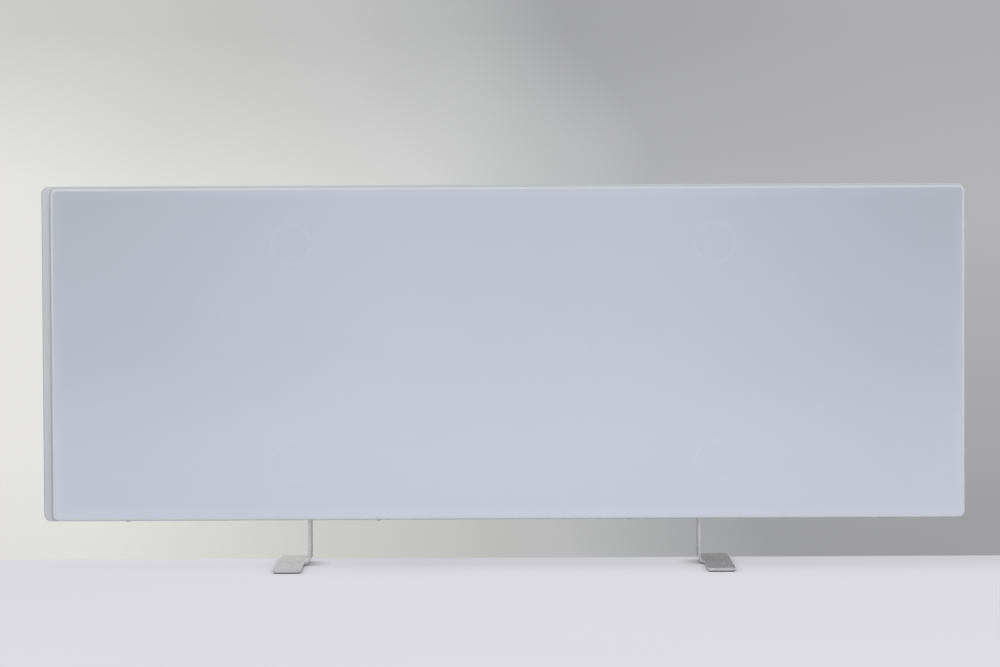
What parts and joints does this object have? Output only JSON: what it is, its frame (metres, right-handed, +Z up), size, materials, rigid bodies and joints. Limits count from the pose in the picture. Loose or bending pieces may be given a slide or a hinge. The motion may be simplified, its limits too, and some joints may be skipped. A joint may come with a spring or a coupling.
{
  "type": "convector heater",
  "caption": "Low electric convector heater: a pale glass front on a slim steel casing, a slatted outlet along the top, push controls in one end and flat bent-steel feet.",
  "frame": {"origin": "on the floor, midway between the feet and midway along their plates", "axes": "+X along the heater to the right as its front is seen, +Y to the back, +Z up"},
  "size_m": [1.0252, 0.182, 0.425],
  "materials": {
    "back_painted_glass": "polished, painted bluish white on its back",
    "casing_paint": "satin powder coat, bluish white",
    "grille_paint": "satin powder coat",
    "foot_paint": "satin powder coat, light grey white",
    "pad_rubber": "matte black",
    "bond_rubber": "matte",
    "plated_steel": "zinc plated",
    "element_aluminium": "as extruded",
    "sheath_steel": "heat tinted sheath",
    "bush_ceramic": "unglazed",
    "shield_steel": "bright plated sheet",
    "cutout_ceramic": "unglazed body",
    "fascia_plastic": "fine texture, bluish white",
    "lens_plastic": "smoked, glossy",
    "module_plastic": "black",
    "board_laminate": "green solder resist",
    "relay_plastic": "blue case",
    "capacitor_aluminium": "sleeved can",
    "button_dark": "dark grey, fine texture",
    "button_plastic": "fine texture",
    "terminal_plastic": "natural nylon",
    "lead_brown": "brown insulation",
    "lead_blue": "blue insulation",
    "lead_green": "green and yellow insulation",
    "gland_plastic": "black nylon"
  },
  "bodies": {
    "body": {"front_glass": "back_painted_glass", "front_tray": "casing_paint", "rear_casing": "casing_paint", "outlet_grille": "grille_paint", "left_foot_bracket": "foot_paint", "right_foot_bracket": "foot_paint", "left_foot_pad": "pad_rubber", "right_foot_pad": "pad_rubber", "glass_bond_pads": "bond_rubber", "glass_mount_discs": "plated_steel", "glass_stud_nuts": "plated_steel", "element_fins": "element_aluminium", "element_rod": "sheath_steel", "element_bushes": "bush_ceramic", "left_element_bracket": "plated_steel", "right_element_bracket": "plated_steel", "heat_shield": "shield_steel", "heat_baffle": "shield_steel", "thermal_cutout": "cutout_ceramic", "control_fascia": "fascia_plastic", "display_window": "lens_plastic", "display_module": "module_plastic", "control_board": "board_laminate", "tact_switches": "module_plastic", "power_relay": "relay_plastic", "smoothing_capacitor": "capacitor_aluminium", "main_switch_housing": "module_plastic", "room_sensor": "module_plastic", "terminal_block": "terminal_plastic", "live_lead": "lead_brown", "cutout_lead": "lead_brown", "neutral_lead": "lead_blue", "earth_lead": "lead_green", "cord_gland": "gland_plastic", "gland_nut": "gland_plastic", "casing_screws": "plated_steel", "foot_screws": "plated_steel", "board_screws": "plated_steel"},
    "power_button": {"power_button": "button_dark"},
    "plus_button": {"plus_button": "button_plastic"},
    "minus_button": {"minus_button": "button_plastic"},
    "rocker": {"main_switch_rocker": "button_dark"}
  },
  "joints": [
    {"name": "power_button_press", "type": "slide", "parent": "body", "child": "power_button", "axis": [-1, 0, 0], "range_m": [0, 0.0008], "stiffness_N_per_m": 1200, "springref_m": -0.0005},
    {"name": "plus_button_press", "type": "slide", "parent": "body", "child": "plus_button", "axis": [-1, 0, 0], "range_m": [0, 0.0008], "stiffness_N_per_m": 1200, "springref_m": -0.0005},
    {"name": "minus_button_press", "type": "slide", "parent": "body", "child": "minus_button", "axis": [-1, 0, 0], "range_m": [0, 0.0008], "stiffness_N_per_m": 1200, "springref_m": -0.0005},
    {"name": "main_switch_rock", "type": "hinge", "parent": "body", "child": "rocker", "pos_m": [0.508, 0.027, 0.324], "axis": [0, 0, 1], "range_deg": [0, 16]}
  ]
}
